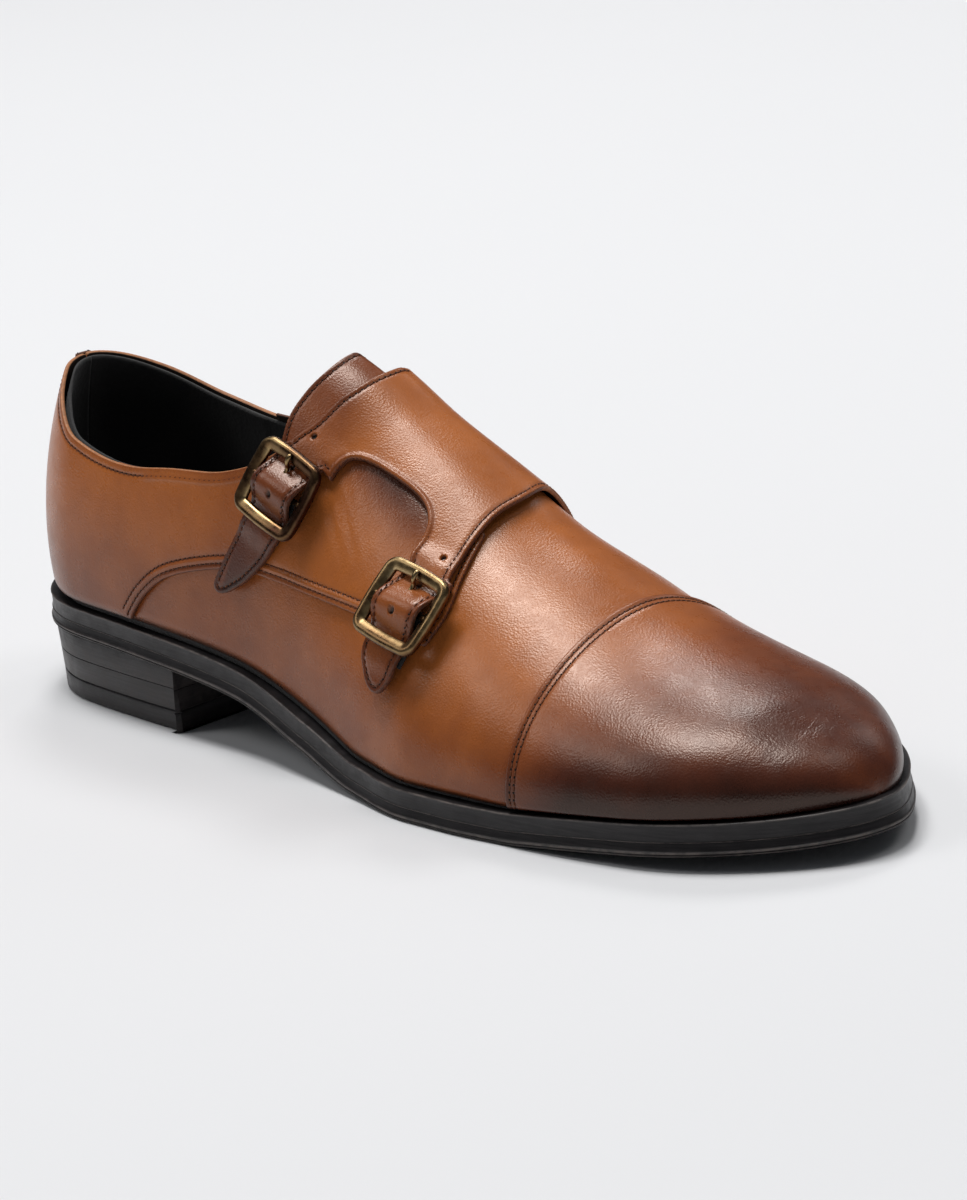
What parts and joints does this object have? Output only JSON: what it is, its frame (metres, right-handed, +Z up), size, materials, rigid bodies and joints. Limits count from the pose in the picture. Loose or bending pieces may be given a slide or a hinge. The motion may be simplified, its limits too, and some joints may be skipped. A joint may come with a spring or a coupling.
{
  "type": "double monk strap shoe",
  "caption": "Low men's dress shoe with a toe cap, closed by two buckled straps over an instep flap, on a stacked heel; right foot.",
  "frame": {"origin": "centre of the heel's flat tread, on the floor", "axes": "+X to the toe, +Y to the inner side of the foot, +Z up"},
  "size_m": [0.304, 0.0993, 0.1016],
  "materials": {
    "tan_leather": "burnished, satin",
    "dark_leather": "burnished, satin",
    "black_lining": "matt",
    "black_rubber": "satin",
    "antique_brass": "aged, satin",
    "black_elastic": "matt"
  },
  "bodies": {
    "root": {"outsole": "black_rubber", "heel": "black_rubber", "insole": "black_lining", "upper": "tan_leather", "toe_cap": "tan_leather", "quarter_outer": "tan_leather", "quarter_inner": "tan_leather", "tongue": "dark_leather", "back_strip": "dark_leather", "buckle_upper": "antique_brass", "prong_upper": "antique_brass", "keeper_upper": "black_elastic", "buckle_lower": "antique_brass", "prong_lower": "antique_brass", "keeper_lower": "black_elastic"}
  },
  "joints": []
}
